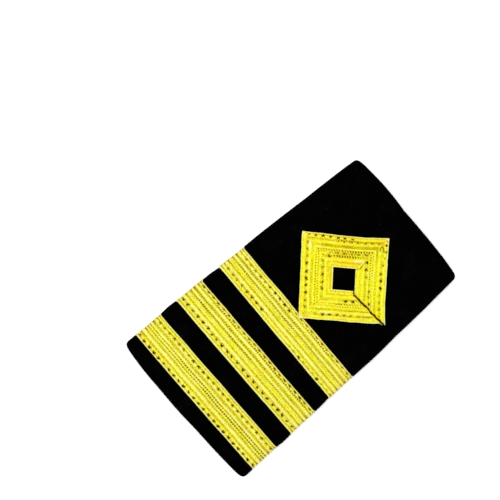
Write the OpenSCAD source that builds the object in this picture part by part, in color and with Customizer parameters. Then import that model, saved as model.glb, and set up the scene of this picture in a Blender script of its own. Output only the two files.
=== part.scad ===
// Slip-on shoulder board: an arched front of black cloth with its side edges rolled and
// turned under, a flat back cloth that closes it into a sleeve for a shoulder strap,
// three bars of ribbed lace wrapped round the front, and a lace diamond.
// The board lies on its back. +X runs from the shoulder end to the narrower collar end,
// +Z up out of the front, and the origin is at the middle of the underside.

/* [Board] */
// Length of the board along its middle
board_l = 102.6; // [92:0.2:130]
// Width of the cloth at the shoulder end
wide_w = 60; // [52:0.2:72]
// Width of the cloth at the collar end
narrow_w = 52.8; // [46:0.2:62]
// How far each end bows out past its corners
end_bow = 0.9; // [0.2:0.1:2]
// Radius of the four corners, seen from above
corner_r = 1.8; // [1:0.1:4]
// Slope of the arched front where it meets the side edges, in degrees
edge_slope = 12; // [8:1:18]

/* [Front cloth] */
// Thickness of the front cloth
cloth_t = 1.6; // [1.3:0.1:2.4]
// Inside radius of the rolled side edges
bend_r = 0.5; // [0.3:0.1:1.5]
// Reach of the turned-under cloth, in from the side of the board
turn_under = 8.5; // [6:0.5:12]
// How far the sewn lace presses the cloth down
lace_press = 0.5; // [0.2:0.05:0.6]
// How far the cloth swells up between two bars of lace
cloth_puff = 0.15; // [0:0.05:0.3]

/* [Back cloth] */
// Thickness of the back cloth
back_t = 1; // [0.8:0.1:1.6]
// How far the back cloth's sides lie in from the sides of the board
back_side_in = 3.6; // [2.5:0.1:5]
// How far the back cloth's ends lie in from the ends of the board
back_end_in = 1.2; // [0.6:0.1:3]

/* [Lace] */
// Width of the lace
lace_w = 11; // [8:0.2:12]
// Thickness of the lace at its ridges
lace_t = 0.8; // [0.6:0.05:1.1]
// Cloth between the shoulder end and the first bar
first_margin = 5.9; // [4:0.1:8]
// Cloth between two bars
bar_gap = 7; // [4:0.2:8]
// How far the turned-under cloth runs in past the ends of the lace
lace_end_in = 2; // [1:0.25:3.5]
// Small gap between pieces that lie against each other
fit_gap = 0.1; // [0.08:0.01:0.15]

/* [Diamond] */
// Diagonal of the diamond along the board
diamond_l = 41; // [32:0.5:42]
// Diagonal of the diamond across the board
diamond_w = 42.6; // [34:0.2:44]
// How far the diamond's middle lies off the board's middle line
diamond_off = 1.2; // [0:0.1:2]
// How far the diamond's corner laps over the inner bar
diamond_lap = 1.4; // [0.8:0.1:2]
// Width of the slit where the lace's cut ends meet
seam_gap = 0.3; // [0.2:0.05:0.6]

/* [Hidden] */

cloth_color = [0.05, 0.05, 0.055];
back_color = [0.09, 0.09, 0.1];
lace_color = [0.9, 0.84, 0.24];

// Share of the taper that is straight; the rest grows towards the collar end
taper_line = 0.62;
// Steps over the arch and round each rolled edge
arch_steps = 16;
roll_steps = 8;
// Sections of the cloth between the inner bar and the collar end's corners
tail_rows = 5;
// Steps along each side of the diamond and across its underside, and round the back cloth's ends
side_steps = 6;
mitre_steps = 5;
end_steps = 10;
// Length over which the cloth rises again beside a bar
press_blend = 0.6;

edge_r = bend_r + cloth_t;
// Height of the lace's underside where it runs under the edge, then of the bare cloth there
under_lace_z = back_t + fit_gap;
under_cloth_z = under_lace_z + lace_t + fit_gap - lace_press;
edge_z = under_cloth_z + edge_r;

bar_count = 3;
// Slant of each bar: its run along the board for each unit across it
bar_slant = [0.002, 0.007, 0.0175];
function bar_start(i) = first_margin + i * (lace_w + bar_gap) - board_l / 2;
bars_end = bar_start(bar_count - 1) + lace_w;
// Slant of the collar end and the cloth next to it
collar_slant = 0.02;

// Ribs across the lace: [share of its width, share of its thickness]
lace_ribs = [
    [0.00, 0.72], [0.04, 1.00], [0.09, 0.66], [0.145, 0.88], [0.195, 0.66], [0.285, 1.00], [0.37, 0.68],
    [0.42, 0.86], [0.463, 0.74], [0.506, 0.86], [0.55, 0.74], [0.61, 1.00], [0.69, 0.68], [0.77, 0.98],
    [0.84, 0.64], [0.895, 0.88], [0.93, 0.70], [0.96, 1.00], [1.00, 0.72]
];
RIB_AT = 0;
RIB_HIGH = 1;

// Sections near an end: [share of the corner's radius in from the end, share of the wall taken off each face]
end_rows = [[0.00, 0.32], [0.07, 0.14], [0.22, 0.03], [0.55, 0.00], [1.00, 0.00]];
ROW_IN = 0;
ROW_THIN = 1;

// Half width of the cloth at x, with its corners left square
function half_at(x) =
    let (q = x / board_l + 0.5)
    (wide_w - (wide_w - narrow_w) * (taper_line * q + (1 - taper_line) * pow(q, 3))) / 2;

// Radius of the arched front and height of its centre, for a half width
function arch_r(half) = (half - edge_r) / sin(edge_slope) + edge_r;
function arch_z(half) = edge_z - (arch_r(half) - edge_r) * cos(edge_slope);

// Places round a section: 0 is the middle of the front, 1 where the edge's roll starts, 2 the underside
roll_places = [for (k = [1:roll_steps]) 1 + k / roll_steps];
places = concat(
    [for (k = [roll_steps - 1:-1:0]) -roll_places[k]],
    [for (k = [0:arch_steps]) 2 * k / arch_steps - 1],
    roll_places
);
function face_angle(place) =
    sign(place) * (min(abs(place), 1) * edge_slope + max(abs(place) - 1, 0) * (180 - edge_slope));

// Across and up, at a height over the cloth's face
function face_point(half, place, height) =
    let (a = face_angle(place), on_arch = abs(place) < 1)
    on_arch
        ? [(arch_r(half) + height) * sin(a), arch_z(half) + (arch_r(half) + height) * cos(a)]
        : [sign(place) * (half - edge_r) + (edge_r + height) * sin(a), edge_z + (edge_r + height) * cos(a)];
function under_z(height) = under_cloth_z - height;

// A section of the cloth: place along the middle, the end whose bow it takes, how far the corner
// sets it in, the share of the wall taken off each face, the press of the lace, and the slant
function section(x, end = 0, set_in = 0, thin = 0, press = 0, slant = 0) =
    [x, end, set_in, thin, press, slant];
AT = 0;
END = 1;
SET_IN = 2;
THIN = 3;
PRESS = 4;
SLANT = 5;

function corner_in(share) = corner_r * (1 - sqrt(1 - pow(1 - share, 2)));
function end_section(end, row) =
    section(
        end * (board_l / 2 - row[ROW_IN] * corner_r), end, corner_in(row[ROW_IN]), row[ROW_THIN],
        slant = end > 0 ? collar_slant : 0
    );
function bar_sections(i) =
    let (x = bar_start(i), s = bar_slant[i])
    [
        section(x - press_blend, slant = s),
        section(x, press = lace_press, slant = s),
        section(x + lace_w, press = lace_press, slant = s),
        section(x + lace_w + press_blend, slant = s)
    ];
function gap_section(i) =
    section(bar_start(i) + lace_w + bar_gap / 2, press = -cloth_puff, slant = (bar_slant[i] + bar_slant[i + 1]) / 2);
tail_start = bars_end + press_blend;
tail_end = board_l / 2 - corner_r;

cloth_sections = concat(
    [for (row = end_rows) end_section(-1, row)],
    [section(bar_start(0) - first_margin / 2)],
    [for (i = [0:bar_count - 1]) each concat(bar_sections(i), i < bar_count - 1 ? [gap_section(i)] : [])],
    [
        for (k = [1:tail_rows])
            section(tail_start + (tail_end - tail_start) * k / (tail_rows + 1), slant = collar_slant)
    ],
    [for (k = [len(end_rows) - 1:-1:0]) end_section(1, end_rows[k])]
);

// Puts a point of a section, given across and up, into the board
function in_board(s, yz) =
    let (bow = end_bow * pow(yz[0] / half_at(s[AT]), 2))
    [s[AT] - s[END] * bow + s[SLANT] * yz[0], yz[0], yz[1]];

// The cloth's line round a section at one height, from the tip of one turned-under edge to the other
function cloth_line(s, height) =
    let (half = half_at(s[AT]), tip = half - turn_under)
    [
        in_board(s, [-tip, under_z(height)]),
        for (p = places) in_board(s, face_point(half - s[SET_IN], p, height)),
        in_board(s, [tip, under_z(height)])
    ];
function cloth_ring(s) =
    let (
        outer = cloth_line(s, -s[PRESS] - s[THIN] * cloth_t),
        inner = cloth_line(s, s[THIN] * cloth_t - cloth_t),
        n = len(inner)
    )
    concat(outer, [for (k = [n - 1:-1:0]) inner[k]]);

// Faces between rings of n points, laid one after another
function ring_faces(rings, n) = [
    for (i = [0:rings - 2], j = [0:n - 1])
        let (a = i * n + j, b = i * n + (j + 1) % n)
        each [[a, b, b + n], [a, b + n, a + n]]
];
// Faces over the open end of a wall whose ring runs along one face and back along the other
function wall_end(start, n) = [
    for (j = [0:n / 2 - 2])
        let (a = start + j, b = start + n - 1 - j)
        each [[a, b - 1, a + 1], [a, b, b - 1]]
];
function flipped(faces) = [for (f = faces) [for (k = [len(f) - 1:-1:0]) f[k]]];

module front_cloth() {
    rings = [for (s = cloth_sections) cloth_ring(s)];
    n = len(rings[0]);
    color(cloth_color)
        polyhedron(
            [for (ring = rings) each ring],
            flipped(concat(
                ring_faces(len(rings), n),
                wall_end(0, n),
                flipped(wall_end((len(rings) - 1) * n, n))
            ))
        );
}

// A flat panel with the board's taper and bowed ends
module back_cloth() {
    half_l = board_l / 2 - back_end_in;
    function side(x) = half_at(x) - back_side_in;
    function end_line(end) = [
        for (k = [0:end_steps])
            let (y = (2 * k / end_steps - 1) * side(end * half_l))
            [end * (half_l - end_bow * pow(y / half_at(end * half_l), 2)), end * y]
    ];
    mids = [for (k = [1:side_steps - 1]) half_l * (2 * k / side_steps - 1)];
    color(back_color)
        linear_extrude(height = back_t)
            polygon(concat(
                end_line(-1),
                [for (x = mids) [x, -side(x)]],
                end_line(1),
                [for (k = [len(mids) - 1:-1:0]) [mids[k], side(mids[k])]]
            ));
}

// Closes rings of lace whose first and last rings are flat into one solid
module lace_solid(rings) {
    n = len(rings[0]);
    last = (len(rings) - 1) * n;
    color(lace_color)
        polyhedron(
            [for (ring = rings) each ring],
            concat(
                ring_faces(len(rings), n),
                [[for (j = [n - 1:-1:0]) j], [for (j = [0:n - 1]) last + j]]
            )
        );
}

// The lace's outline as [share of its width, height over what it lies on]: ribs above, and below
// a face in so many steps
function lace_outline(steps) = concat(
    [for (rib = lace_ribs) [rib[RIB_AT], fit_gap + lace_t * rib[RIB_HIGH]]],
    [for (k = [steps:-1:0]) [k / steps, fit_gap]]
);

module lace_bar(i) {
    mid = bar_start(i) + lace_w / 2;
    tip = half_at(mid) - turn_under + lace_end_in;
    outline = lace_outline(1);
    function lace_section(o) = section(bar_start(i) + lace_w * o[0], slant = bar_slant[i]);
    function ring(place) = [
        for (o = outline)
            let (s = lace_section(o))
            in_board(s, face_point(half_at(s[AT]), place, o[1] - lace_press))
    ];
    function end_ring(side) = [
        for (o = outline) in_board(lace_section(o), [side * tip, under_z(o[1] - lace_press)])
    ];
    lace_solid(concat([end_ring(-1)], [for (p = places) ring(p)], [end_ring(1)]));
}

// A mitred ring of lace on its corner, cut at the corner that points to -Y
module lace_diamond() {
    half_l = diamond_l / 2;
    half_w = diamond_w / 2;
    side_l = norm([half_l, half_w]);
    shrink = lace_w * side_l / (half_l * half_w);
    middle = [bars_end - diamond_lap + half_l, -diamond_off];
    corners = [[0, -half_w], [half_l, 0], [0, half_w], [-half_l, 0], [0, -half_w]];
    cut = seam_gap / 2;
    outline = lace_outline(mitre_steps);
    // The corner that laps over the inner bar rises from its first step in, to clear the bar's last rib
    lap_run = half_l * shrink / mitre_steps;
    lap_rib = diamond_lap - lace_w * (1 - lace_ribs[len(lace_ribs) - 2][RIB_AT]);
    lap_rise = (lace_t - lace_press + fit_gap) / (1 - lap_rib / lap_run);
    function lap_at(x) = lap_rise * max(0, 1 - (x - middle[0] + half_l) / lap_run);
    // Point of a side at a share of its length, the first and last points moved clear of the slit
    function on_side(i, share, scale) =
        let (
            a = corners[i] * scale,
            b = corners[i + 1] * scale,
            clear = (b - a) * cut / abs(b[0] - a[0]),
            start = i == 0 ? a + clear : a,
            stop = i == 3 ? b - clear : b
        )
        middle + start + (stop - start) * share;
    function on_front(xy, height) =
        let (half = half_at(xy[0]), a = asin(xy[1] / arch_r(half)), r = arch_r(half) + height)
        [xy[0], r * sin(a), arch_z(half) + r * cos(a)];
    function ring(i, share) = [
        for (o = outline)
            let (xy = on_side(i, share, 1 - o[0] * shrink))
            on_front(xy, o[1] + lap_at(xy[0]))
    ];
    lace_solid([
        for (i = [0:3], k = [(i == 0 ? 0 : 1):side_steps]) ring(i, k / side_steps)
    ]);
}

front_cloth();
back_cloth();
lace_bar(0);  // outer_lace_bar
lace_bar(1);  // middle_lace_bar
lace_bar(2);  // inner_lace_bar
lace_diamond();
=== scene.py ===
import math

import bmesh
import bpy
import numpy as np
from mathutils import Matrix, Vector


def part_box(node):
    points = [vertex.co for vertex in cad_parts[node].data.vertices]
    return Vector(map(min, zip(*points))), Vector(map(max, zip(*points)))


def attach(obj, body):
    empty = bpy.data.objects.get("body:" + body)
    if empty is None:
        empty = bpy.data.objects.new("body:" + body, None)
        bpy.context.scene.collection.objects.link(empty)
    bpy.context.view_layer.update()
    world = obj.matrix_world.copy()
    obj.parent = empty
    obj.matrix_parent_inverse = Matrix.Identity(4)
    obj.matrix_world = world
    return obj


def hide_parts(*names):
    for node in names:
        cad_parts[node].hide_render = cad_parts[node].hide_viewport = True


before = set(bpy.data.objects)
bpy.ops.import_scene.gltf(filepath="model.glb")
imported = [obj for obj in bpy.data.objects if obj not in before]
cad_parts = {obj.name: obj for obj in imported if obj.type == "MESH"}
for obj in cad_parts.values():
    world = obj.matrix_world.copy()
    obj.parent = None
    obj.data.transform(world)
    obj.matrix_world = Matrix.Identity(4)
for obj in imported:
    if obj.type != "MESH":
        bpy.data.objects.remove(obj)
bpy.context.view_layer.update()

MM = 0.001

# The board, with the sizes it was cut to
BOARD_LOW, BOARD_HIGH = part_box("front_cloth")
BOARD_L = BOARD_HIGH.x - BOARD_LOW.x
WIDE_W = 60 * MM
NARROW_W = 52.8 * MM
TAPER_LINE = 0.62
END_BOW = 0.9 * MM
CORNER_R = 1.8 * MM
UPPER_OUT_AT = np.array([-52, -20, -1, 10, 52]) * MM
UPPER_OUT = np.array([1.18, 1.25, 0.68, 0.45, 0.06]) * MM
UPPER_OUT_RUN = 12 * MM
EDGE_SLOPE = math.radians(12)
CLOTH_T = 1.6 * MM
EDGE_R = 0.5 * MM + CLOTH_T
TURN_UNDER = 8.5 * MM
BACK_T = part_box("back_cloth")[1].z
BACK_SIDE_IN = 3.6 * MM
BACK_END_IN = 1.2 * MM

# The lace and where it is sewn
LACE_W = 11 * MM
LACE_T = 0.8 * MM
LACE_PRESS = 0.5 * MM
PRESS_BLEND = 0.6 * MM
CLOTH_PUFF = 0.15 * MM
FIT_GAP = 0.1 * MM
FIRST_MARGIN = 5.9 * MM
BAR_GAP = 7 * MM
LACE_END_IN = 2 * MM
BAR_SLANT = (0.002, 0.007, 0.0175)
BAR_START = tuple(FIRST_MARGIN + i * (LACE_W + BAR_GAP) - BOARD_L / 2 for i in range(3))
BARS_END = BAR_START[-1] + LACE_W
UNDER_Z = BACK_T + FIT_GAP + LACE_T + FIT_GAP - LACE_PRESS
EDGE_Z = UNDER_Z + EDGE_R

DIAMOND_L = 41 * MM
DIAMOND_W = 42.6 * MM
DIAMOND_OFF = 1.2 * MM
DIAMOND_LAP = 1.4 * MM
DIAMOND_PRESS = 0.22 * MM
SLIT_W = 0.48 * MM

# The sewing thread
THREAD_D = 0.24 * MM
STITCH_SHARE = 0.36
STITCH_ARCH = 0.2 * MM
STITCH_TONE = 0.62
STITCH_RICHNESS = 1.2


# Smooth random lines, the same on every run

LINE_KNOTS, FACE_KNOTS = 4096, 256
# Steps added to a place, so that it is never below nought
LINE_START, FACE_START = 2000, 100


def smooth(t):
    return t * t * (3 - 2 * t)


def ease(t):
    """0 to 1 with flat ends."""
    return smooth(np.clip(t, 0, 1))


def wander(at, step, seed):
    """Smooth noise from -1 to 1 along a line, with a knot every step."""
    knots = np.random.default_rng(seed).uniform(-1, 1, LINE_KNOTS)
    t = np.asarray(at) / step + LINE_START
    k = np.floor(t).astype(int)
    s = smooth(t - k)
    return knots[k % LINE_KNOTS] * (1 - s) + knots[(k + 1) % LINE_KNOTS] * s


def ripple(x, y, step, seed):
    """Smooth noise from -1 to 1 over a face."""
    knots = np.random.default_rng(seed).uniform(-1, 1, (FACE_KNOTS, FACE_KNOTS))
    u, v = np.asarray(x) / step + FACE_START, np.asarray(y) / step + FACE_START
    i, j = np.floor(u).astype(int), np.floor(v).astype(int)
    s, t = smooth(u - i), smooth(v - j)
    i0, i1, j0, j1 = i % FACE_KNOTS, (i + 1) % FACE_KNOTS, j % FACE_KNOTS, (j + 1) % FACE_KNOTS
    low = knots[i0, j0] * (1 - s) + knots[i1, j0] * s
    high = knots[i0, j1] * (1 - s) + knots[i1, j1] * s
    return low * (1 - t) + high * t


def dimple(d, r):
    """1 at the middle, falling away over r."""
    return np.exp(-(d / r) ** 2)


def rounded(d, r):
    """How far a round edge has fallen in at d from its rim: 1 there, and 0 from r on."""
    return 1 - np.sqrt(1 - np.clip(1 - d / r, 0, 1) ** 2)


def lumps(at, places):
    """Soft lumps along a line, each given as middle, size and reach in millimetres."""
    return sum(size * MM * dimple(at - middle * MM, reach * MM) for middle, size, reach in places)


# The board's form: where a point goes when the cloth is laid over it

def half_at(x):
    """Half width of the cloth at x, its corners left square."""
    q = x / BOARD_L + 0.5
    return (WIDE_W - (WIDE_W - NARROW_W) * (TAPER_LINE * q + (1 - TAPER_LINE) * q ** 3)) / 2


def half_near(x, y):
    """Half width at x on the side that y is on: the cloth was folded a little further out at +Y."""
    return half_at(x) + np.interp(x, UPPER_OUT_AT, UPPER_OUT) * ease(y / UPPER_OUT_RUN)


def arch_r(half):
    return (half - EDGE_R) / math.sin(EDGE_SLOPE) + EDGE_R


def arch_z(half):
    return EDGE_Z - (arch_r(half) - EDGE_R) * math.cos(EDGE_SLOPE)


ROLL_L = EDGE_R * (math.pi - EDGE_SLOPE)


def round_board(half, girth, height):
    """Across and up, for a distance round the section from its middle and a height over the cloth."""
    side, reach = np.sign(girth), np.abs(girth)
    r = arch_r(half)
    arch_l = r * EDGE_SLOPE
    turn = np.clip((reach - arch_l) / EDGE_R, 0, math.pi - EDGE_SLOPE)
    a = np.where(reach < arch_l, reach / r, EDGE_SLOPE + turn)
    on_arch = reach < arch_l
    y = np.where(on_arch, (r + height) * np.sin(a), half - EDGE_R + (EDGE_R + height) * np.sin(a))
    over_arch = arch_z(half) + (r + height) * np.cos(a)
    z = np.where(on_arch, over_arch, EDGE_Z + (EDGE_R + height) * np.cos(a))
    flat = np.maximum(reach - arch_l - ROLL_L, 0)
    return side * (y - flat), z


def on_front(x, y, height):
    """A point of the front, given from above."""
    half = half_near(x, y)
    a = np.arcsin(y / arch_r(half))
    r = arch_r(half) + height
    return np.stack([x, r * np.sin(a), arch_z(half) + r * np.cos(a)], -1)


# Meshes from blanks: a blank is made flat, counted in shares, and then laid on the board

def sheet(cols, rows):
    """A flat sheet from 0 to 1 in x and y."""
    bm = bmesh.new()
    bmesh.ops.create_grid(bm, x_segments=cols, y_segments=rows, size=0.5)
    bmesh.ops.translate(bm, vec=(0.5, 0.5, 0), verts=bm.verts)
    return bm


def slab(cols, rows):
    """A closed slab: a sheet, raised to z = 1, with an underside at z = 0."""
    bm = sheet(cols, rows)
    made = bmesh.ops.extrude_face_region(bm, geom=bm.faces[:])
    raised = [g for g in made["geom"] if isinstance(g, bmesh.types.BMVert)]
    bmesh.ops.translate(bm, vec=(0, 0, 1), verts=raised)
    return bm


def ribbon(face_cols, back_cols, rows):
    """A closed tube: x counts the points of its outline, the face's first, and y runs from 0 to 1."""
    last = face_cols + back_cols - 1
    bm = sheet(last, rows)
    bmesh.ops.scale(bm, vec=(last, 1, 1), verts=bm.verts)
    rims = [e for e in bm.edges if e.is_boundary and abs(e.verts[0].co.x - e.verts[1].co.x) < 0.5]
    bmesh.ops.bridge_loops(bm, edges=rims)
    bmesh.ops.holes_fill(bm, edges=bm.edges[:], sides=0)
    return bm


def places(bm):
    return np.array([v.co for v in bm.verts], float)


def laid(bm, points):
    for v, p in zip(bm.verts, points):
        v.co = p
    bmesh.ops.recalc_face_normals(bm, faces=bm.faces[:])


def shown(name, data):
    obj = bpy.data.objects.new(name, data)
    bpy.context.collection.objects.link(obj)
    return obj


def piece(name, bm, material, uv=None, marks=None):
    """Makes the object. uv is one pair for each point, and marks are named numbers for each point."""
    mesh = bpy.data.meshes.new(name)
    bm.to_mesh(mesh)
    bm.free()
    if uv is not None:
        corner = np.zeros(len(mesh.loops), int)
        mesh.loops.foreach_get("vertex_index", corner)
        layer = mesh.uv_layers.new(name="weave")
        layer.data.foreach_set("uv", np.asarray(uv, np.float32)[corner].ravel())
    for mark, values in (marks or {}).items():
        layer = mesh.attributes.new(mark, "FLOAT", "POINT")
        layer.data.foreach_set("value", np.asarray(values, np.float32))
    mesh.shade_smooth()
    mesh.materials.append(material)
    return shown(name, mesh)


# Materials

class Maker:
    """Short ways to add nodes to one material."""

    def __init__(self, name):
        self.mat = bpy.data.materials.new(name)
        self.mat.use_nodes = True
        self.nodes = self.mat.node_tree.nodes
        self.shader = self.nodes["Principled BSDF"]

    def put(self, socket, value):
        if isinstance(value, bpy.types.NodeSocket):
            self.mat.node_tree.links.new(value, socket)
        else:
            socket.default_value = value

    def shade(self, values):
        """Puts a value or a link on each of these inputs of the shader."""
        for name, value in values.items():
            self.put(self.shader.inputs[name], value)

    def node(self, kind, inputs):
        """Adds a node with a value or a link on each of these inputs."""
        node = self.nodes.new("ShaderNode" + kind)
        for name, value in inputs.items():
            self.put(node.inputs[name], value)
        return node

    def mark(self, name):
        node = self.nodes.new("ShaderNodeAttribute")
        node.attribute_name = name
        return node.outputs["Fac"]

    def place(self):
        """The place on the piece, in metres."""
        return self.nodes.new("ShaderNodeTexCoord").outputs["Object"]

    def lace_mm(self):
        """The lace's own millimetres, along and across."""
        node = self.nodes.new("ShaderNodeUVMap")
        node.uv_map = "weave"
        return node.outputs["UV"]

    def weave(self, along, across):
        """The lace's own millimetres, stretched by these."""
        stretch = {"Vector": self.lace_mm(), "Scale": (along, across, 1)}
        return self.node("Mapping", stretch).outputs["Vector"]

    def noise(self, vector, scale, detail=2, rough=0.5):
        inputs = {"Scale": scale, "Detail": detail, "Roughness": rough, "Vector": vector}
        return self.node("TexNoise", inputs).outputs["Fac"]

    def reckon(self, kind, *values):
        node = self.nodes.new("ShaderNodeMath")
        node.operation = kind
        for socket, value in zip(node.inputs, values):
            self.put(socket, value)
        return node.outputs[0]

    def sum(self, first, share, second):
        """first times share, and second added."""
        return self.reckon("MULTIPLY_ADD", first, share, second)

    def times(self, first, second):
        return self.reckon("MULTIPLY", first, second)

    def span(self, value, low, high, to_low=0, to_high=1, kind="SMOOTHSTEP"):
        """Spreads what lies from low to high over to_low to to_high."""
        ends = {"From Min": low, "From Max": high, "To Min": to_low, "To Max": to_high}
        node = self.node("MapRange", {"Value": value, **ends})
        node.interpolation_type = kind
        return node.outputs["Result"]

    def colors(self, value, stops):
        node = self.node("ValToRGB", {"Fac": value})
        while len(node.color_ramp.elements) < len(stops):
            node.color_ramp.elements.new(0.5)
        for stop, (at, color) in zip(node.color_ramp.elements, stops):
            stop.position = at
            stop.color = (*color, 1)
        return node.outputs["Color"]

    def blend(self, share, under, over, kind="MIX"):
        """over laid on under by a share."""
        node = self.nodes.new("ShaderNodeMix")
        node.data_type = "RGBA"
        node.blend_type = kind
        self.put(node.inputs["Factor"], share)
        self.put(node.inputs["A"], under)
        self.put(node.inputs["B"], over if isinstance(over, bpy.types.NodeSocket) else (*over, 1))
        return node.outputs["Result"]

    def bump(self, height, strength, distance):
        node = self.node("Bump", {"Height": height, "Strength": strength, "Distance": distance})
        self.shade({"Normal": node.outputs["Normal"]})


# The yellow from the grooves up to the ribs, and its tints, amber patches and painted shades where each
# shows
# The ramp's dark groove end is painted shade and its pale rib end a painted highlight
THREAD_TONES = (
    (0, (0.091, 0.065, 0.0008)),
    (0.23, (0.2, 0.169, 0.0016)),
    (0.38, (0.301, 0.267, 0.0045)),
    (0.54, (0.407, 0.384, 0.013)),
    (0.69, (0.517, 0.499, 0.036)),
    (0.85, (0.626, 0.619, 0.083)),
    (0.92, (0.65, 0.644, 0.125)),
    (1, (0.665, 0.658, 0.215)),
)
RICH_TINT = (1, 1, 0.12)
WARM_TINT = (1, 0.81, 0.7)
CREAM_AND_HIGHLIGHT = (0.66, 0.645, 0.3)
GOLD_THREAD = (0.55, 0.36, 0.006)
AMBER_PATCH_AND_SHADE = (0.58, 0.3, 0.012)
HOLLOW_SHADE_BROWN = (0.05, 0.036, 0.001)
HOLE_SHADE_BROWN = (0.25, 0.165, 0.003)
HOLE_SHADE_DARK = (0.012, 0.006, 0.0006)
THREAD_GLOSS = (1, 0.84, 0.12, 1)


def lace_material():
    """Yellow thread: pale ribs and olive grooves as painted highlight and shade, brown painted shade in
    the needle holes.
    """
    m = Maker("lace_thread")
    fleck = m.span(m.noise(m.weave(1.6, 2.6), 1, 3, 0.6), 0.28, 0.72)
    streak = m.noise(m.weave(0.35, 5), 1)
    blotch = m.noise(m.weave(0.16, 0.32), 1, 2, 0.55)
    spot = m.noise(m.weave(0.9, 1.6), 1)
    run = m.noise(m.weave(0.25, 1.4), 1)
    dye = m.noise(m.weave(0.5, 0.8), 1)

    # The tone follows the lift: painted shade in the grooves and hollows, a painted highlight on the ribs
    tone = m.sum(fleck, 0.52, m.sum(streak, 0.26, m.mark("lift")))
    tone = m.sum(blotch, -0.2, tone)
    tone = m.sum(m.mark("hollow_shade"), -0.52, m.sum(tone, 1, -0.24))
    color = m.colors(tone, THREAD_TONES)
    rich = m.sum(run, 2.6, m.sum(spot, 1.2, m.mark("rich")))
    color = m.blend(m.span(rich, 1.6, 2.9), color, RICH_TINT, "MULTIPLY")
    warm = m.sum(dye, 2.5, m.mark("warm"))
    color = m.blend(m.span(warm, 1.05, 2.35), color, WARM_TINT, "MULTIPLY")
    # Pale cream: frayed tips and pale streaks, and a painted highlight on the edge cords, the drawn-up
    # threads and the ribs over the roll
    pale = m.times(m.mark("pale"), m.span(fleck, 0.2, 0.7, 0.45, 0.95))
    color = m.blend(pale, color, CREAM_AND_HIGHLIGHT)
    gold = m.span(m.sum(spot, 1, m.times(m.mark("rich"), 0.12)), 0.66, 0.8, 0, 0.55)
    color = m.blend(gold, color, GOLD_THREAD)
    # Amber: patches on the thread, and painted shade over the roll and at the slit's cut ends
    amber_patch = m.times(m.mark("amber"), m.span(fleck, 0.25, 0.6, 0.4, 0.9))
    color = m.blend(amber_patch, color, AMBER_PATCH_AND_SHADE)
    # Painted shade in the hollows: chain pores, creases, the grooves over the roll and the slit's cut ends
    color = m.blend(m.span(m.mark("hollow_shade"), 0.42, 1, 0, 0.85), color, HOLLOW_SHADE_BROWN)
    # Painted brown shade round each needle pit, and painted dark shade in it
    hole = m.mark("hole")
    color = m.blend(m.span(hole, 0.03, 0.32, 0, 0.7), color, HOLE_SHADE_BROWN)
    color = m.blend(m.span(hole, 0.2, 0.6), color, HOLE_SHADE_DARK)
    m.shade({"Base Color": color, "Roughness": m.span(streak, 0.3, 0.7, 0.42, 0.66)})

    # Fine warp threads along the lace, crossed by the weft
    threads = []
    for direction, scale in (("Y", 1.5), ("X", 0.8)):
        wave = m.node("TexWave", {"Scale": scale, "Distortion": 0.8, "Vector": m.lace_mm()})
        wave.bands_direction = direction
        threads.append(wave.outputs["Fac"])
    m.bump(m.sum(threads[0], 1, threads[1]), 0.35, 0.05 * MM)
    m.shade({"Specular IOR Level": 0.1, "Specular Tint": THREAD_GLOSS})
    return m.mat


CLOTH_TONES = (
    (0.1, (0.0001, 0.0001, 0.0001)),
    (0.3, (0.0003, 0.0003, 0.0003)),
    (0.55, (0.003, 0.0029, 0.0031)),
)
LINT_TONES = ((0, (0, 0, 0)), (0.74, (0, 0, 0)), (0.86, (0.012, 0.0115, 0.012)))
TWILL_TONES = ((0.2, (0.004, 0.004, 0.0045)), (1, (0.016, 0.0155, 0.017)))
TWILL_SLANT = math.radians(52)


def cloth_material():
    """Black napped wool."""
    m = Maker("black_cloth")
    place = m.place()
    nap = m.noise(place, 2600, 5, 0.65)
    cloud = m.noise(place, 160, 3, 0.55)
    color = m.colors(m.times(nap, cloud), CLOTH_TONES)
    lint = m.colors(m.noise(place, 1300, 1), LINT_TONES)
    m.shade({
        "Base Color": m.blend(1, color, lint, "ADD"),
        "Roughness": m.span(nap, 0, 1, 0.82, 1, "LINEAR"),
        "Specular IOR Level": 0.004,
        "Sheen Weight": 0.006,
        "Sheen Roughness": 0.5,
    })
    m.bump(nap, 0.7, 0.12 * MM)
    return m.mat


def back_material():
    """Black twill."""
    m = Maker("black_twill")
    place = m.place()
    turned = m.node("Mapping", {"Vector": place, "Rotation": (0, 0, TWILL_SLANT)}).outputs["Vector"]
    wave = {"Scale": 520, "Distortion": 0.5, "Detail Scale": 900, "Vector": turned}
    twill = m.node("TexWave", wave).outputs["Fac"]
    yarn = m.noise(place, 1800, 3)
    both = m.sum(yarn, 0.5, twill)
    m.shade({
        "Base Color": m.colors(both, TWILL_TONES),
        "Roughness": m.span(yarn, 0, 1, 0.6, 0.85, "LINEAR"),
    })
    m.bump(both, 0.6, 0.1 * MM)
    return m.mat


LACE = lace_material()
CLOTH = cloth_material()
BACK = back_material()


# The lace: cords side by side, a chain up the middle, and rows of machine stitching

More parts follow.
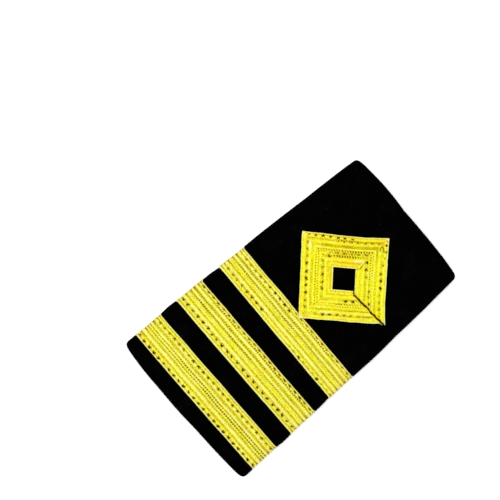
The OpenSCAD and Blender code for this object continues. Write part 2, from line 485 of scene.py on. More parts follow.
# Cords across the lace: middle and half width as shares of its width, height as a share of its
# thickness, and how brightly it shows; then how far the threads of each lean
BAR_CORDS = (
    (0.028, 0.034, 1, 0.86), (0.136, 0.046, 0.82, 0.92), (0.281, 0.066, 1, 0.94),
    (0.42, 0.038, 0.86, 0.92), (0.51, 0.036, 0.8, 0.92), (0.616, 0.046, 0.96, 0.96),
    (0.774, 0.058, 0.96, 0.9), (0.896, 0.036, 0.8, 0.88), (0.976, 0.026, 1, 0.8),
)
DIAMOND_CORDS = (
    (0.014, 0.022, 0.9, 0.92), (0.1, 0.062, 0.92, 0.9), (0.262, 0.066, 0.98, 0.88),
    (0.415, 0.046, 0.86, 0.9), (0.5, 0.038, 0.8, 0.86), (0.59, 0.048, 0.92, 0.88),
    (0.76, 0.066, 0.96, 0.9), (0.895, 0.05, 0.88, 0.88), (0.98, 0.024, 0.92, 0.86),
)
CORD_LEAN = (0, 0.8, -0.7, 0.9, 0, -0.9, 0.7, -0.8, 0)
# The weave's steps and reaches, and its heights and depths as shares of the lace's thickness
GROOVE = 0.55
CHAIN_STEP = 0.915 * MM
THREAD_STEP = CHAIN_STEP / 2
BEAD_STEP = 0.52 * MM
TWIST_H = 0.02
LADDER_H = 0.025
BAND_RUN = 1.5
WHOLE_STRETCH = (-40, 40)
PORE_R = 0.3 * MM
PORE_DEPTH = 0.22
PORE_SLANT = 0.7 * MM
FAINT = 0.3
# How a needle hole and the weave round it are drawn
SCALLOP = 0.024
SCALLOP_R = 0.35 * MM
HOLE_DRAWS = 256
HOLE_SLIP, HOLE_DRIFT = 0.1 * MM, 0.06 * MM
RUN_OUT_MM = 6
PIT_R = 0.4 * MM
PIT_DEPTH = 0.5
BITE_L, BITE_W = 0.62 * MM, 0.48 * MM
# How deep the bite at each hole is dented, and how much painted shade darkens it
BITE_DEPTH, BITE_SHADE = 0.12, 0.24
FURROW_W, FURROW_DEPTH = 0.3 * MM, 0.08
CREASE_FROM, CREASE_REACH, CREASE_W = 0.1 * MM, 0.85 * MM, 0.19 * MM
THREAD_L, THREAD_W, THREAD_IN = 0.6 * MM, 0.22 * MM, 0.28 * MM
THREAD_H, THREAD_TONE = 0.05, 0.12
# Rows between these shares across have amber spots by more of their holes, and rows beyond the next have
# longer holes, more often spotted
AMBER_ROWS_FROM, AMBER_ROWS_TO = 0.12, 0.2
BORDER_FROM = 0.9


def lace_relief(share, along, cords, rows, dots, bands, floor_tone, cream, seed):
    """Height of the lace over its underside, and its marks: how far it lifts out of its grooves,
    how pale and how rich its yellow is, its chain pores, its needle holes and its amber spots.
    Each random line adds a number of its own to the seed."""
    across = share * LACE_W
    mm = along / MM
    lane = share + 0.006 * wander(along, 5 * MM, seed + 90) * np.sin(math.pi * np.clip(share, 0, 1))
    for low_line, high_line, pitch, offset, _, first, last in rows:
        # The cord beside a row is drawn off at its holes and swells towards it between them
        line = np.interp(mm, (first, last), (low_line, high_line))
        inner = np.sign(0.5 - line)
        beside = dimple((share - line) * LACE_W * inner - SCALLOP_R, SCALLOP_R)
        beside = beside * ease((mm - first + 2) / 2) * ease((last + 2 - mm) / 2)
        lane -= SCALLOP * inner * beside * np.cos(2 * math.pi * (mm - offset) / pitch)
    rise = np.zeros_like(share)
    lift = np.full_like(share, floor_tone)
    pale = np.zeros_like(share)
    for i, ((middle, half, high, glow), lean) in enumerate(zip(cords, CORD_LEAN)):
        dome = np.clip(1 - ((lane - middle) / half) ** 2, 0, 1)
        swell = 1 + 0.06 * wander(along, 3 * MM, seed + i)
        twist = np.cos(2 * math.pi * (along + lean * across) / THREAD_STEP)
        slip = 0.9 * wander(along, 2.2 * MM, seed + 50 + i)
        ladder = np.cos(2 * math.pi * (along + lean * across) / CHAIN_STEP + i + slip)
        ladder *= np.clip(0.55 + 0.7 * wander(along, 3.5 * MM, seed + 80 + i), 0, 1.2)
        if i in (0, len(cords) - 1):
            twist = np.cos(2 * math.pi * along / BEAD_STEP)
            # The edge cords take a painted highlight, stronger and weaker along them
            highlight_sway = 0.75 + 0.25 * wander(along, 2 * MM, seed + 60 + i)
            pale = np.maximum(pale, cream * dome * highlight_sway)
        cord = (high - GROOVE) * dome * swell + TWIST_H * dome * twist + LADDER_H * dome * ladder
        rise = np.maximum(rise, cord)
        # A cord's tone follows its height: painted shade on its flanks and between its threads, a painted
        # highlight on its crest
        shine = glow + 0.08 * wander(along, 4 * MM, seed + 70 + i) + 0.05 * twist + 0.13 * ladder
        lift = np.maximum(lift, floor_tone + (shine - floor_tone) * dome ** 0.8)
    rich = np.zeros_like(share)
    for line, half, tone, richness, *stretch in bands:
        first, last = stretch or WHOLE_STRETCH
        bit = dimple(lane - line, half)
        bit = bit * ease(0.5 + (mm - first) / BAND_RUN) * ease(0.5 + (last - mm) / BAND_RUN)
        bit *= 0.8 + 0.35 * wander(along, 1.8 * MM, seed + 120 + int(1000 * line))
        lift, rich = lift + tone * bit, rich + richness * bit
    phase = 2 * math.pi * along / CHAIN_STEP
    hollow_shade = np.zeros_like(share)
    for i, (line, depth, *stretch) in enumerate(dots):
        first, last = stretch or WHOLE_STRETCH
        d = (lane - line) * LACE_W
        slip = 0.7 * wander(along, 1.6 * MM, seed + 30 + i)
        beat = np.clip(np.cos(phase + i * math.pi + slip + d / PORE_SLANT), 0, 1)
        fade = np.clip(0.8 + 0.6 * wander(along, 4 * MM, seed + 20 + i), 0.15, 1)
        fade *= np.clip(FAINT + np.minimum(mm - first, last - mm) / 2, FAINT, 1)
        hollow_shade = np.maximum(hollow_shade, np.clip(depth * beat * fade * dimple(d, PORE_R), 0, 1))
    rise -= PORE_DEPTH * hollow_shade
    hole, amber = np.zeros_like(share), np.zeros_like(share)
    for i, (low_line, high_line, pitch, offset, force, first, last) in enumerate(rows):
        rng = np.random.default_rng(seed + 40 + i)
        slip, drift = rng.normal(0, HOLE_SLIP, HOLE_DRAWS), rng.normal(0, HOLE_DRIFT, HOLE_DRAWS)
        chance = rng.uniform(0.6, 1, HOLE_DRAWS)
        length = rng.uniform(0.9, 1.5, HOLE_DRAWS)
        breadth, tilt = rng.uniform(0.65, 1.05, HOLE_DRAWS), rng.uniform(-0.9, 0.9, HOLE_DRAWS)
        amber_spotted = rng.uniform(0, 1, HOLE_DRAWS) > (0.55 if AMBER_ROWS_FROM < low_line < AMBER_ROWS_TO else 0.85)
        arms = rng.uniform(0.1, 1.5, (2, HOLE_DRAWS))
        if high_line > BORDER_FROM:
            length, breadth = length * 1.6, breadth * 0.75
            amber_spotted = rng.uniform(0, 1, HOLE_DRAWS) > 0.25
        number = np.round((mm - offset) / pitch).astype(int)
        k = number % HOLE_DRAWS
        at = offset + number * pitch
        line = np.interp(at, (first, last), (low_line, high_line))
        da = along - at * MM - slip[k]
        dx = across - line * LACE_W - drift[k]
        if isinstance(force, tuple):
            known = (number >= 0) & (number < len(force))
            power = np.array(force + (0,))[np.where(known, number, len(force))]
        else:
            power = force * chance[k] * np.clip(FAINT + np.minimum(at - first, last - at), FAINT, 1)
            power = np.where((at < first - RUN_OUT_MM) | (at > last + RUN_OUT_MM), 0, power)
        pit = dimple(da + tilt[k] * dx, PIT_R * length[k]) * dimple(dx, PIT_R * breadth[k])
        hole = np.maximum(hole, power * pit)
        bite = power * dimple(da, BITE_L) * dimple(dx, BITE_W)
        # The weave is drawn open on the hole's inner side, in one crease or two, with painted shade in
        # each crease
        away = dx * np.sign(0.5 - line)
        strain = arms[(da > 0).astype(int), k] * ease(away / CREASE_FROM)
        strain *= ease((CREASE_REACH - away) / (0.3 * MM))
        crease = np.minimum(1.3 * power, 1) * strain * dimple(np.abs(da) - 0.8 * away, CREASE_W)
        hollow_shade = np.maximum(hollow_shade, crease)
        # The thread drawn up between two holes lies a little towards the lace's middle
        between = dimple(np.abs(da) - pitch * MM / 2, THREAD_L)
        thread = np.minimum(power, 0.8) * between * dimple(away - THREAD_IN, THREAD_W)
        furrow = FURROW_DEPTH * power * dimple(dx, FURROW_W)
        rise = rise - furrow - BITE_DEPTH * bite + THREAD_H * thread
        # Painted shade in the bite, and a painted highlight on the thread drawn up between holes
        lift = lift - BITE_SHADE * bite + THREAD_TONE * thread
        pale = np.maximum(pale, 0.5 * thread)
        amber_patch = 0.8 * power * amber_spotted[k] * dimple(da - 0.7 * MM, 0.6 * MM) * dimple(dx, 0.4 * MM)
        amber = np.maximum(amber, amber_patch)
    marks = {"lift": lift, "pale": pale, "rich": rich, "hollow_shade": hollow_shade, "hole": hole, "amber": amber}
    return LACE_T * (GROOVE + rise - PIT_DEPTH * hole), marks


# One stitch of sewing thread, 2 long and 2 thick
STITCH_BLANK = bmesh.new()
bmesh.ops.create_uvsphere(STITCH_BLANK, u_segments=8, v_segments=7, radius=1)


def stitch_row(place, pitch, offset, low, high, seed):
    """The points of the stitches between a row's needle holes, laid by place(along, aside, up)."""
    rng = np.random.default_rng(seed)
    co = places(STITCH_BLANK)
    first = math.ceil((low - offset) / pitch)
    last = math.floor((high - offset) / pitch)
    rows = []
    for k in range(first, last):
        middle = (offset + (k + 0.5) * pitch) * MM + rng.normal(0, 0.05 * MM)
        turned = rng.normal(0, 0.06)
        along = co[:, 2] * pitch * MM * STITCH_SHARE
        aside = co[:, 0] * THREAD_D / 2 + along * turned
        up = co[:, 1] * THREAD_D / 2 - (co[:, 2] ** 2) * STITCH_ARCH
        rows.append(place(middle + along, aside, up))
    return rows


# Rows of stitching on each bar: share across at both ends, then in millimetres the pitch of its needle
# holes and the place of one, the force of all or of each from that one on, and the stretch of the row
BAR_STITCHING = (
    ((0.066, 0.07, 2.57, 1.9, 0.92, -30, 30), (0.842, 0.838, 2.51, 1.2, 0.7, -30, 30)),
    ((0.15, 0.156, 2.54, -27.6, (0.8, 0.8, 1, 1, 0.85, 0.95, 0.9, 0.9, 0.9, 0.85, 0.8), -30, -1),
     (0.16, 0.178, 2.586, 1.1, (0.7, 0.85, 0.7, 1, 0.7, 0.75, 0.8, 0.9, 0.8, 0.7, 0.8, 0.7), 1, 30),
     (0.935, 0.935, 2.65, 1.8, 0.7, -30, 30)),
    ((0.078, 0.078, 2.48, -28.6, (0.25, 0.15, 0.15, 0.9, 0.2, 0.15, 0.2, 0.85, 0.3, 0.3), -30, -6),
     (0.165, 0.17, 2.56, 6.9, (0.2, 0.75, 0.75, 0.85, 0.85, 0.5, 0.5, 0.6, 0.5), 6, 30),
     (0.935, 0.93, 2.7, 0.4, 0.55, -30, 1),
     (0.825, 0.825, 2.53, 2.8, (0.75, 0.8, 0.75, 0.85, 0.6, 0.45, 0.5, 0.4, 0.35, 0.4), 2.5, 30)),
)
# Dotted lines of the weave: share across, depth, and the stretch if not the whole
BAR_DOTS = (
    ((0.463, 2.1, -40, 3), (0.5, 0.5), (0.557, 1.9, -40, 15)),
    ((0.545, 1.5, -3, 40), (0.505, 0.8, -3, 40), (0.465, 0.6), (0.695, 0.9, -8, 40),
     (0.855, 1.15, -27, 21)),
    ((0.545, 1.2), (0.505, 0.7), (0.465, 0.6), (0.695, 0.7, -6, 40), (0.86, 0.9, -40, -5)),
)
# How far each bar's two selvedges lie off their place
BAR_TRIM = ((0.06 * MM, 0), (0, 0), (0.12 * MM, -0.24 * MM))
# Where each bar's middle cord and the next one lie
BAR_MIDDLE_CORDS = ((0.515, 0.617), (0.478, 0.608), (0.478, 0.608))
# Bands on each bar: share across, half width, how much lighter and richer, and the stretch as above
INNER_BANDS = (
    (0.062, 0.018, 0.08, 0), (0.35, 0.03, -0.03, 0.3), (0.39, 0.014, 0.06, 0.2),
    (0.44, 0.045, -0.02, 0.7), (0.455, 0.014, -0.07, 0), (0.522, 0.018, 0.12, 0.3),
    (0.583, 0.02, 0.08, 0), (0.64, 0.016, 0.05, 0.3), (0.815, 0.022, 0.1, 0.2),
    (0.905, 0.018, 0.07, 0.2), (0.968, 0.02, 0.05, 0),
)
BAR_BANDS = (
    ((0.04, 0.02, 0.05, 0), (0.15, 0.06, 0, 0.7), (0.4, 0.022, -0.04, 0.2), (0.485, 0.02, 0.04, 0.3),
     (0.55, 0.014, -0.05, 0.3), (0.585, 0.018, 0.1, 0), (0.84, 0.02, 0.05, 0.2),
     (0.885, 0.022, 0, 0.5)),
    (*INNER_BANDS, (0.11, 0.04, -0.02, 0.6), (0.24, 0.02, 0.05, 0), (0.32, 0.02, -0.03, 0.3)),
    (*INNER_BANDS, (0.11, 0.045, 0.02, 0.8), (0.225, 0.026, 0.09, 0), (0.335, 0.02, -0.06, 0.3),
     (0.56, 0.016, 0.05, 0)),
)
# Odd marks on each bar: kind, force, reach in millimetres, and the points of its line, each a share
# across the lace and millimetres along it
# The hollow shade and hole strokes are painted shade
BAR_STROKES = (
    (("amber", 0.8, 0.5, 0.09, 15.8), ("amber", 0.9, 0.45, 0.15, 29.3, 0.12, 30.4),
     ("hole", 0.9, 0.34, 0.11, 30.3), ("hollow_shade", 0.6, 0.24, 0.88, -28, 0.9, -29.4)),
    (("hollow_shade", 0.8, 0.24, 0.375, -6.6), ("hollow_shade", 0.8, 0.24, 0.705, -6.6), ("hollow_shade", 0.6, 0.24, 0.7, 5.4),
     ("amber", 0.9, 0.36, 0.19, -20.2), ("amber", 0.7, 0.6, 0.1, -28, 0.18, -28.6),
     ("amber", 0.7, 0.26, 0.94, 14, 0.935, 20.5), ("amber", 0.55, 0.3, 0.15, -3, 0.165, -9),
     ("amber", 0.6, 0.32, 0.155, -13.5, 0.17, -18), ("amber", 0.6, 0.24, 0.945, -4, 0.94, -14)),
    (("amber", 0.7, 0.55, 0.11, 14.3), ("hollow_shade", 0.6, 0.3, 0.14, 14.6),
     ("hollow_shade", 0.45, 0.24, 0.185, 8, 0.18, 20)),
)
# How dark the bars' grooves are painted as shade, and how pale their edge cords are as a painted highlight
BAR_GROOVE_TONE = 0.48
BAR_CREAM = 0.9
BAR_RICHNESS = 0.05
BAR_WARMTH = 0.15
LACE_FACE = 84
LACE_BACK = 5
BAR_ROWS = 740
# Over the rolled edge the lace is squeezed, with painted shade below this tone and a painted highlight
# above it
SIDE_SQUEEZE = 0.38
ROLL_FROM, ROLL_RUN = 0.9 * MM, 2.6 * MM
LOW_TONE, LOW_RUN = 0.84, 0.3


def selvedge(i, side, along):
    """Place along the board of a bar's first or second selvedge, which is never quite straight."""
    seed = 300 + 20 * side + i
    sway = 0.1 * MM * wander(along, 9 * MM, seed) + 0.03 * MM * wander(along, 2 * MM, seed + 10)
    bead = 0.025 * MM * np.cos(2 * math.pi * along / BEAD_STEP)
    return BAR_START[i] + side * LACE_W + BAR_TRIM[i][side] + sway + (2 * side - 1) * bead


def on_roll(x, along):
    """0 on the front, 1 where the lace has gone over the rolled edge."""
    return ease((np.abs(along) - arch_r(half_near(x, along)) * EDGE_SLOPE + ROLL_FROM) / ROLL_RUN)


def bar_place(i, share, along, height):
    low, high = selvedge(i, 0, along), selvedge(i, 1, along)
    x = BAR_START[i] + LACE_W * share
    y, z = round_board(half_near(x, along), along, height - LACE_PRESS)
    return np.stack([low * (1 - share) + high * share + BAR_SLANT[i] * y, y, z], -1)


def bar_reach(i, x, way):
    """How far round the section the lace of a bar goes from the middle to its tucked end, one way."""
    half = half_near(x, way * WIDE_W)
    tip = half_near(BAR_START[i] + LACE_W / 2, way * WIDE_W) - TURN_UNDER + LACE_END_IN
    return arch_r(half) * EDGE_SLOPE + ROLL_L + half - EDGE_R - tip


def lace_blank(back_cols, rows):
    """A ribbon, and for each point its shares across and along the lace, and whether it is on the face."""
    bm = ribbon(LACE_FACE, back_cols, rows)
    index, t = places(bm)[:, :2].T
    on_face = index < LACE_FACE
    share = np.where(on_face, index / (LACE_FACE - 1), 1 - (index - LACE_FACE) / (back_cols - 1))
    return bm, share, t, on_face


def deepen(marks, kind, value):
    marks[kind] = np.maximum(marks[kind], value)


def stroked(marks, on, share, along, strokes):
    """Lays the strokes on the points that they are for."""
    for kind, force, reach, *way in strokes:
        points = [(p * LACE_W / MM, q) for p, q in zip(way[::2], way[1::2])]
        near = from_line(share * LACE_W / MM, along / MM, points)
        deepen(marks, kind, np.where(on, force * dimple(near, reach), 0))


def face_only(marks, on_face):
    """The marks, with nought on the underside."""
    return {mark: np.where(on_face, value, 0) for mark, value in marks.items()}


def from_line(x, y, points):
    """Distance from a line through the points."""
    near = np.full_like(x, np.inf)
    for (ax, ay), (bx, by) in zip(points, points[1:] or points):
        run = (bx - ax) ** 2 + (by - ay) ** 2
        t = np.clip(((x - ax) * (bx - ax) + (y - ay) * (by - ay)) / run, 0, 1) if run else 0
        near = np.minimum(near, np.hypot(x - ax - t * (bx - ax), y - ay - t * (by - ay)))
    return near


def lace_bar(i, name, node):
    bm, share, t, on_face = lace_blank(LACE_BACK, BAR_ROWS)
    way = 2 * t - 1
    along = way * bar_reach(i, BAR_START[i] + LACE_W * share, np.sign(way))
    cords = list(BAR_CORDS)
    for k, middle in zip((4, 5), BAR_MIDDLE_CORDS[i]):
        cords[k] = (middle, *cords[k][1:])
    height, marks = lace_relief(
        share, along, cords, BAR_STITCHING[i], BAR_DOTS[i], BAR_BANDS[i],
        BAR_GROOVE_TONE, BAR_CREAM, 1000 * (i + 1),
    )
    roll = on_roll(BAR_START[i] + LACE_W / 2, along)
    height *= 1 - SIDE_SQUEEZE * roll
    # Over the roll: painted shade in the grooves (hollow shade and amber), a painted highlight on the ribs
    low = ease((LOW_TONE - marks["lift"]) / LOW_RUN)
    deepen(marks, "pale", 0.5 * roll * (1 - low))
    deepen(marks, "hollow_shade", 0.62 * roll * low ** 2)
    deepen(marks, "amber", 0.45 * roll * low ** 2)
    stroked(marks, on_face, share, along, BAR_STROKES[i])
    marks["rich"] += BAR_RICHNESS
    marks["warm"] = BAR_WARMTH + 0.15 * wander(along, 6 * MM, 700 + i)
    laid(bm, bar_place(i, share, along, FIT_GAP + np.where(on_face, height, 0)))
    uv = np.stack([along / MM + 200 * i, share * LACE_W / MM], -1)
    obj = piece(name, bm, LACE, uv, face_only(marks, on_face))
    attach(obj, "root")
    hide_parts(node)


lace_bar(0, "outer_bar", "outer_lace_bar")
lace_bar(1, "middle_bar", "middle_lace_bar")
lace_bar(2, "inner_bar", "inner_lace_bar")


# The diamond

HALF_L, HALF_W = DIAMOND_L / 2, DIAMOND_W / 2
SIDE_L = math.hypot(HALF_L, HALF_W)
SHRINK = LACE_W * SIDE_L / (HALF_L * HALF_W)
MIDDLE = np.array([BARS_END - DIAMOND_LAP + HALF_L, -DIAMOND_OFF])
CORNERS = np.array([[0, -HALF_W], [HALF_L, 0], [0, HALF_W], [-HALF_L, 0], [0, -HALF_W]])
# Rows of stitching on each side from the slit round, as on the bars, with the force of each hole
DIAMOND_STITCHING = (
    ((0.185, 0.18, 2.38, -11.9, (0.3, 0.5, 0.35, 0.25, 0.8, 0.8, 0.55), -12, 3),
     (0.145, 0.06, 2.35, 5.3, (0.55, 0.4, 0.5), 5, 10),
     (0.54, 0.545, 2.15, -8, (0.7, 0.4, 0.55, 0.2), -8, -1),
     (0.655, 0.665, 2.5, 1.1, (0.4, 0.8), 1, 4)),
    ((0.095, 0.07, 2.5, -2.4, (0.65, 0.85, 0.75, 0.75, 0.85, 0.65, 0.55), -3, 12),
     (0.17, 0.17, 2.4, -11.6, (0.25, 0.35, 0.25, 0.35, 0.3, 0.25), -12, 2),
     (0.57, 0.565, 2.5, -7.3, (0.4, 0.45, 0.3, 0.5, 0.35, 0.25), -8, 6),
     (0.68, 0.68, 2.4, 5.4, (0.6,), 5, 6)),
    ((0.185, 0.18, 2.455, -11.4, (0.35, 0.5, 0.45, 0.75, 0.8, 0.8, 0.75, 0.7, 0.4, 0.5), -12, 12),
     (0.68, 0.695, 2.4, -5.7, (0.35, 0.25, 0.75, 0.55, 0.55, 0.2), -6, 6)),
    ((0.165, 0.175, 2.47, -9.3, (0.4, 0.75, 0.75, 0.6, 0.5, 0.35, 0.25), -10, 6),
     (0.655, 0.66, 2.55, 0.9, (0.8, 0.75), 0, 4)),
)
DIAMOND_DOTS = (
    ((0.46, 0.9), (0.54, 1.1, -2, 20), (0.61, 1, 3, 20)),
    ((0.49, 3.4, -10, 6), (0.565, 2.2, -8, 4), (0.65, 2.7, -5, 4), (0.17, 1.6, -13, 4)),
    ((0.46, 0.85), (0.54, 1), (0.71, 0.7, -6, 6)),
    ((0.46, 0.75), (0.54, 1.1, -4, 9), (0.7, 0.8, -6, 7)),
)
# Bands on each side, as on the bars
DIAMOND_BANDS = (
    ((0.345, 0.022, -0.1, 0.3, -12, 12), (0.365, 0.04, -0.12, 0.1, 6, 12), (0.23, 0.09, 0.05, 1, -13, 9),
     (0.85, 0.075, 0.14, 1.6, -5, 4), (0.54, 0.06, 0.06, 0.4, -8, 6), (0.67, 0.026, -0.14, 0.1, -7, 0)),
    ((0.34, 0.055, -0.3, 0.4, -11, 8), (0.425, 0.014, 0.2, -0.9, -11, 10),
     (0.225, 0.03, 0.06, -0.3, -10, 12), (0.38, 0.012, -0.16, 0.3, -8, 7),
     (0.465, 0.018, -0.15, 0.2, -11, 9), (0.56, 0.06, 0.04, 0, -8, 8),
     (0.046, 0.014, -0.24, 0.2, -14, 14), (0.845, 0.02, -0.16, 0.6, -5, 4),
     (0.92, 0.04, 0.06, 0.6, -4, 4)),
    ((0.275, 0.026, 0.08, -0.6, -11, 10), (0.335, 0.018, -0.2, 0, -6, 10),
     (0.1, 0.04, 0.02, 0.4, -13, 10), (0.91, 0.034, 0, 0.8, -3, 4)),
    ((0.335, 0.022, -0.2, 0, -9, 9), (0.25, 0.03, 0.08, -0.5, -8, -4),
     (0.845, 0.012, -0.2, 0.2, -6, 3), (0.92, 0.012, -0.16, 0.2, -6, 3),
     (0.78, 0.05, 0.06, 0.5, -6, 3), (0.07, 0.03, 0.04, -0.3, -8, 12)),
)
# How dark the diamond's grooves are painted as shade, and how pale its edge cords are as a painted
# highlight
DIAMOND_GROOVE_TONE = 0.63
DIAMOND_CREAM = 1
SIDE_ROWS = 170
MITRE_W = 0.26 * MM
# The hole lies a little off the ring's middle
HOLE_OFF = np.array([-0.18 * MM, -0.21 * MM])
# The slit: shares across the lace, and how far it leans off the corner's line there
SLIT_AT = np.array([0, 0.18, 0.34, 0.51, 0.7, 0.9345])
SLIT_LEAN = np.array([-0.3, -0.46, -0.72, -0.62, -0.9, -1]) * MM
# How far each of its two edges shifts across its own side's lace for that lean
SLIT_SHIFT = SLIT_LEAN / (HALF_L * SHRINK)
# Threads that all but bridge the slit: share across and reach, and how much of its width they take
BRIDGE_AT, BRIDGE_R, BRIDGE_SHARE = 0.485, 0.022, 0.85
# Distance from a mitre, as a share of the distance along the side
MITRE_SHARE = 0.72
# How far each side's outer selvedge lies inside its line, at these shares of its length
TRIM_AT = (0, 0.12, 0.25, 0.4, 0.55, 0.75, 0.88, 1)
SIDE_TRIM = (
    (0.1, 0.3, 0.42, 0.38, 0.25, 0.25, 0.14, 0.05),
    (0.05, 0.14, 0.46, 0.45, 0.38, 0.16, 0.12, 0.05),
    (-0.15, -0.15, -0.1, -0.05, -0.05, -0.08, -0.08, -0.05),
    (0.1, 0.18, 0.05, 0.2, 0.1, 0.18, 0.3, 0.7),
)
# How high the corner rises to lap over the inner bar, and where it has come down
LAP_RISE = 0.42 * MM
LAP_END = BARS_END + 1.3 * MM
LAP_RUN = 1.2 * MM


def cut_short(side, share):
    """How much the slit takes off a side at its start and at its end, measured along it."""
    frayed = SLIT_W / 2 + 0.1 * MM * wander(share, 0.05, 77) + 0.08 * MM * wander(share, 0.015, 78)
    bridged = 1 - BRIDGE_SHARE * dimple(share - BRIDGE_AT, BRIDGE_R)
    frayed = frayed * (1 + 0.45 * wander(share, 0.07, 79)) * bridged
    first = frayed + np.interp(share, SLIT_AT - SLIT_SHIFT, SLIT_LEAN)
    last = frayed - np.interp(share, [*(SLIT_AT + SLIT_SHIFT), 1], [*SLIT_LEAN, 0])
    longer = SIDE_L / HALF_L
    return np.where(side == 0, first, 0) * longer, np.where(side == 3, last, 0) * longer


def side_along(side, share, t):
    """Distance along a side from its middle, for a share of what the slit leaves of it."""
    start, end = cut_short(side, share)
    side_l = SIDE_L * (1 - share * SHRINK)
    return start + (side_l - start - end) * t - side_l / 2


def side_trim(side, t):
    """How far the outer selvedge of each side lies inside its line: it is never quite straight."""
    trim = np.choose(side, [np.interp(t, TRIM_AT, line) * MM for line in SIDE_TRIM])
    return trim - 0.05 * MM * wander(side + t, 0.1, 502) - 0.04 * MM * wander(side + t, 0.035, 501)


def on_side(side, share, t):
    """A point of the ring seen from above, for a side's number and the shares across and along it."""
    scale = (1 - share * SHRINK)[:, None]
    a, b = CORNERS[side] * scale, CORNERS[side + 1] * scale
    step = (b - a) / np.linalg.norm(b - a, axis=1)[:, None]
    along = side_along(side, share, t)
    out = step[:, ::-1] * np.array([1, -1])
    ends = ease(t / 0.06) * ease((1 - t) / 0.06)
    inward = side_trim(side, t) * ends * (1 - share)
    middle = MIDDLE + HOLE_OFF * share[:, None] + (a + b) / 2
    return middle + step * along[:, None] - out * inward[:, None]


def diamond_place(side, share, t, height):
    xy = on_side(side, share, t)
    lap = ease((LAP_END - xy[:, 0]) / LAP_RUN)
    return on_front(xy[:, 0], xy[:, 1], height - DIAMOND_PRESS * (1 - lap) + LAP_RISE * lap)


# How deep the fold shows at each corner, from the slit round, then how warm, how rich and how light
# each side's yellow is
FOLDS = (0, 0.15, 0.25, 0.35, 0)
SIDE_WARMTH = (0.06, 0.5, 0.05, 0.38)
SIDE_RICHNESS = (0.65, 0.85, 0.9, 0.75)
SIDE_LIFT = (0.02, 0.01, 0.02, 0.02)
# How deep the fold is dented, and how much painted shade darkens it
FOLD_DEPTH, FOLD_SHADE = 0.2 * MM, 0.45
TIP_PALE, TIP_R = 1.8, 0.8 * MM
# Cut ends at the slit drop and get a painted brown shade
CUT_DROP, CUT_R = 0.3 * MM, 0.16 * MM
# Thread ends, knots and creases on each side, as the odd marks on the bars; the dark ones are painted
# shade
DIAMOND_STROKES = (
    (("hollow_shade", 0.8, 0.2, 0.98, 3.6, 0.85, 4, 0.77, 5.2, 0.71, 6.1, 0.65, 6.3),
     ("hole", 0.85, 0.32, 0.65, 6.3, 0.64, 5.9),
     ("hollow_shade", 0.9, 0.28, 0.13, 9.9, 0.16, 11.3, 0.2, 11.7, 0.25, 11.3, 0.27, 10.3),
     ("amber", 0.7, 0.32, 0.13, 10.2, 0.16, 11.3, 0.2, 11.7), ("hole", 0.95, 0.36, 0.07, 12.3),
     ("amber", 0.9, 0.55, 0.14, 12.4, 0.2, 12.9), ("hole", 0.6, 0.24, 0.06, 13.7),
     ("pale", 1, 0.45, 0, 13.6, 0.02, 14.8)),
    (("amber", 0.8, 0.45, 0.14, -13.2, 0.22, -12.3), ("hole", 0.55, 0.26, 0.08, -14.1),
     ("pale", 0.8, 0.42, 0.77, -6.9, 0.76, -5.4, 0.78, -3.8),
     ("amber", 0.95, 0.28, 0.845, -4.6, 0.85, -2.6), ("amber", 0.75, 0.28, 0.85, -2.4, 0.855, 1),
     ("amber", 0.5, 0.28, 0.055, 10, 0.05, -1), ("pale", 0.5, 0.28, 0.76, 6.7, 0.81, 5.8, 0.95, 5.3),
     ("hole", 0.55, 0.4, 0.8, 7.2)),
    (("amber", 0.6, 0.4, 0.15, -6.2, 0.14, -4.6), ("amber", 1, 0.5, 0.89, -3.6, 0.89, -2.8),
     ("amber", 0.75, 0.32, 0.91, -2.4, 0.92, 3.6), ("hollow_shade", 0.8, 0.2, 0.63, -3.45, 0.76, -3.45),
     ("pale", 0.9, 0.5, 0.01, -14.7), ("pale", 0.55, 0.34, 0.24, -12.5, 0.28, -9.8),
     ("hole", 0.8, 0.26, 0.45, 9.9), ("hole", 0.5, 0.26, 0.39, 12.3),
     ("hollow_shade", 0.6, 0.3, 0.6, 11.2, 0.63, 10.7), ("hollow_shade", 0.55, 0.34, 0.73, 7.6),
     ("amber", 0.75, 0.5, 0.23, 12.7), ("amber", 0.45, 0.34, 0.1, -12, 0.12, -9.5),
     ("hole", 0.75, 0.3, 0.28, 13.7)),
    (("amber", 0.5, 0.34, 0.14, -8.6, 0.15, -4.5), ("amber", 0.45, 0.34, 0.1, 6, 0.12, 9),
     ("amber", 0.8, 0.38, 0.09, -11.8, 0.1, -13.4), ("hole", 0.5, 0.22, 0.23, -10.5),
     ("hole", 0.45, 0.22, 0.32, -8.1), ("hollow_shade", 0.55, 0.34, 0.66, -5.8),
     ("hollow_shade", 0.9, 0.17, 0.505, -2.5, 0.54, -1.6, 0.535, -0.4),
     ("hollow_shade", 0.7, 0.24, 0.175, 5.3, 0.2, 7, 0.18, 8.5, 0.19, 10),
     ("pale", 0.5, 0.28, 0.25, -7.5, 0.25, -4.2), ("pale", 0.75, 0.24, 0.73, 3.5)),
)


